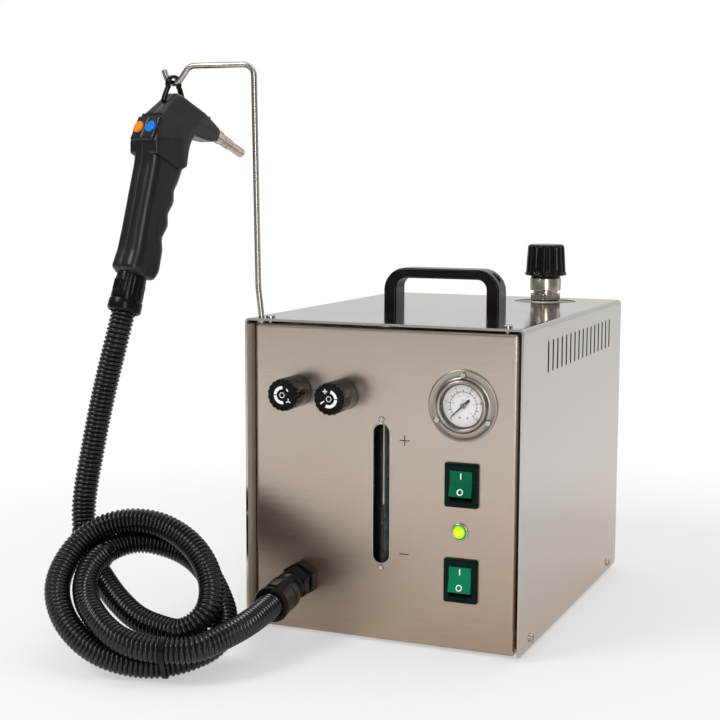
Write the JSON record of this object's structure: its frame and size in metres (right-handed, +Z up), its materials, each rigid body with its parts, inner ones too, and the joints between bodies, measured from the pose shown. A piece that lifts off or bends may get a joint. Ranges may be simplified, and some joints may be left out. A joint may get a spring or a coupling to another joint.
{
  "type": "jewelry steam cleaner",
  "caption": "Brushed steel steam cleaner with boiler, gauge, rocker switches, needle valve knobs and a steam gun that hangs on a rod hook by a coiled hose.",
  "frame": {"origin": "middle of the base pad's underside, on the table", "axes": "+Z up, -Y towards the front panel, +X towards the gauge and the switches"},
  "size_m": [0.3869, 0.5565, 0.4931],
  "materials": {
    "cover_steel": "brushed",
    "panel_steel": "brushed, warm",
    "inner_steel": "plain",
    "bright_steel": "bright",
    "nickel": "bright nickel",
    "brass": "plain",
    "black_plastic": "glossy",
    "matt_black": "matt",
    "gun_grey": "fine grain",
    "black_rubber": "matt",
    "hose_black": "glossy corrugated",
    "pale_plastic": "plain",
    "dial_white": "printed",
    "clear": "clear",
    "frame_green": "glossy",
    "rocker_green": "glossy",
    "lamp_green": "glossy, translucent",
    "button_orange": "glossy",
    "button_blue": "glossy",
    "needle_black": "matt",
    "wool": "fibre"
  },
  "bodies": {
    "case": {"base_pad": "black_rubber", "base_tray": "inner_steel", "front_panel": "panel_steel", "rear_panel": "panel_steel", "cover": "cover_steel", "case_screws": "bright_steel", "carry_handle": "black_plastic", "filler_ring": "bright_steel", "filler_neck": "nickel", "filler_washer": "pale_plastic", "filler_o_ring": "black_rubber", "boiler_tank": "inner_steel", "insulation_jacket": "wool", "heating_element": "inner_steel", "safety_valve": "brass", "pressure_switch": "matt_black", "sight_backing": "matt_black", "sight_glass": "clear", "panel_screws": "bright_steel", "solenoid_valves": "matt_black", "steam_pipes": "brass", "valve_left": "brass", "valve_right": "brass", "gauge_case": "bright_steel", "gauge_dial": "dial_white", "gauge_glass": "clear", "switch_frame_upper": "frame_green", "switch_frame_lower": "frame_green", "lamp_bezel": "bright_steel", "lamp_lens": "lamp_green", "terminal_block": "pale_plastic", "mains_inlet": "matt_black", "drain_valve": "brass", "hook_rod": "bright_steel", "hook_nut": "inner_steel", "gland_lock_nut": "matt_black", "gland_body": "matt_black", "gland_collar": "matt_black", "hose_to_gland": "hose_black", "hose_to_gun": "hose_black", "hose_coil": "hose_black"},
    "knob_left": {"knob_left": "black_plastic"},
    "knob_right": {"knob_right": "black_plastic"},
    "rocker_upper": {"rocker_upper": "rocker_green"},
    "rocker_lower": {"rocker_lower": "rocker_green"},
    "needle": {"gauge_needle": "needle_black"},
    "seal": {"cap_seal": "black_rubber"},
    "cap": {"cap_collar": "nickel", "cap_knob": "black_plastic"},
    "drain_lever": {"drain_lever": "bright_steel"},
    "gun": {"gun_shell_left": "gun_grey", "gun_shell_right": "gun_grey", "gun_switch_block": "gun_grey", "gun_hanger": "bright_steel", "gun_nozzle": "nickel", "gun_adapter": "matt_black", "gun_screws": "matt_black"},
    "button_orange": {"button_orange": "button_orange"},
    "button_blue": {"button_blue": "button_blue"}
  },
  "joints": [
    {"name": "knob_left_turn", "type": "hinge", "parent": "case", "child": "knob_left", "pos_m": [-0.0784, -0.18, 0.21281], "axis": [0, 1, 0], "range_deg": [0, 540]},
    {"name": "knob_right_turn", "type": "hinge", "parent": "case", "child": "knob_right", "pos_m": [-0.0354, -0.18, 0.21201], "axis": [0, 1, 0], "range_deg": [0, 540]},
    {"name": "rocker_upper_tilt", "type": "hinge", "parent": "case", "child": "rocker_upper", "pos_m": [0.072, -0.1566, 0.14291], "axis": [1, 0, 0], "range_deg": [0, 17]},
    {"name": "rocker_lower_tilt", "type": "hinge", "parent": "case", "child": "rocker_lower", "pos_m": [0.072, -0.1566, 0.06221], "axis": [1, 0, 0], "range_deg": [0, 17]},
    {"name": "needle_turn", "type": "hinge", "parent": "case", "child": "needle", "pos_m": [0.072, -0.16, 0.20901], "axis": [0, 1, 0], "range_deg": [0, 270]},
    {"name": "cap_lift", "type": "slide", "parent": "case", "child": "seal", "axis": [0, 0, 1], "range_m": [0, 0.006]},
    {"name": "cap_turn", "type": "hinge", "parent": "seal", "child": "cap", "pos_m": [0.06, 0.12, 0.3], "axis": [0, 0, 1], "range_deg": [0, 1081]},
    {"name": "drain_lever_turn", "type": "hinge", "parent": "case", "child": "drain_lever", "pos_m": [0.04, 0.1751, 0.066], "axis": [0, 0, 1], "range_deg": [0, 90]},
    {"name": "gun_lift", "type": "slide", "parent": "case", "child": "gun", "axis": [0, 0, 1], "range_m": [0, 0.005]},
    {"name": "button_orange_press", "type": "slide", "parent": "gun", "child": "button_orange", "axis": [0.2581, 0.8444, -0.4695], "range_m": [0, 0.0015], "stiffness_N_per_m": 400, "springref_m": -0.002},
    {"name": "button_blue_press", "type": "slide", "parent": "gun", "child": "button_blue", "axis": [0.2581, 0.8444, -0.4695], "range_m": [0, 0.0015], "stiffness_N_per_m": 400, "springref_m": -0.002}
  ],
  "couplings": [
    {"joint": "cap_turn", "follows": "cap_lift", "rad_per_m": 3141.6}
  ]
}
